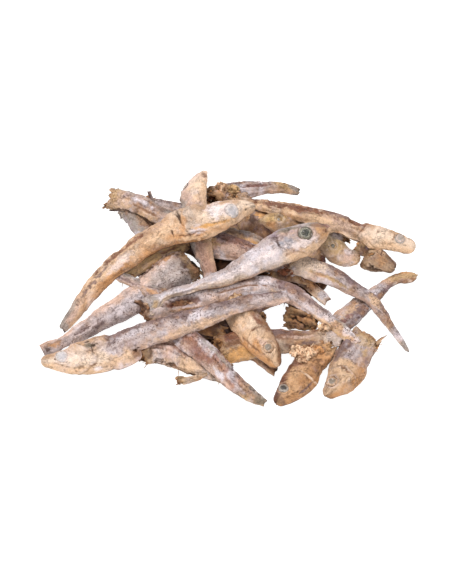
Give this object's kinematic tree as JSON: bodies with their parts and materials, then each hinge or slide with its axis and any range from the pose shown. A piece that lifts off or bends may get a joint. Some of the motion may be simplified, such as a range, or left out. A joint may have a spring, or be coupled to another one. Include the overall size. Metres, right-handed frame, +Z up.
{
  "type": "dried anchovies",
  "caption": "Loose heap of whole and broken dried anchovies, crossed over each other as tipped out on a table.",
  "frame": {"origin": "on the table, under the middle of the heap", "axes": "+Z up, +X along the heap's longer side, -Y the side it is looked at from"},
  "size_m": [0.1563, 0.1196, 0.0276],
  "materials": {
    "dried_fish": "dry wrinkled skin and flesh, peach to violet grey, with dark brown torn places and cloudy eyes, almost matt"
  },
  "bodies": {
    "root": {"anchovy_heap": "dried_fish"}
  },
  "joints": []
}
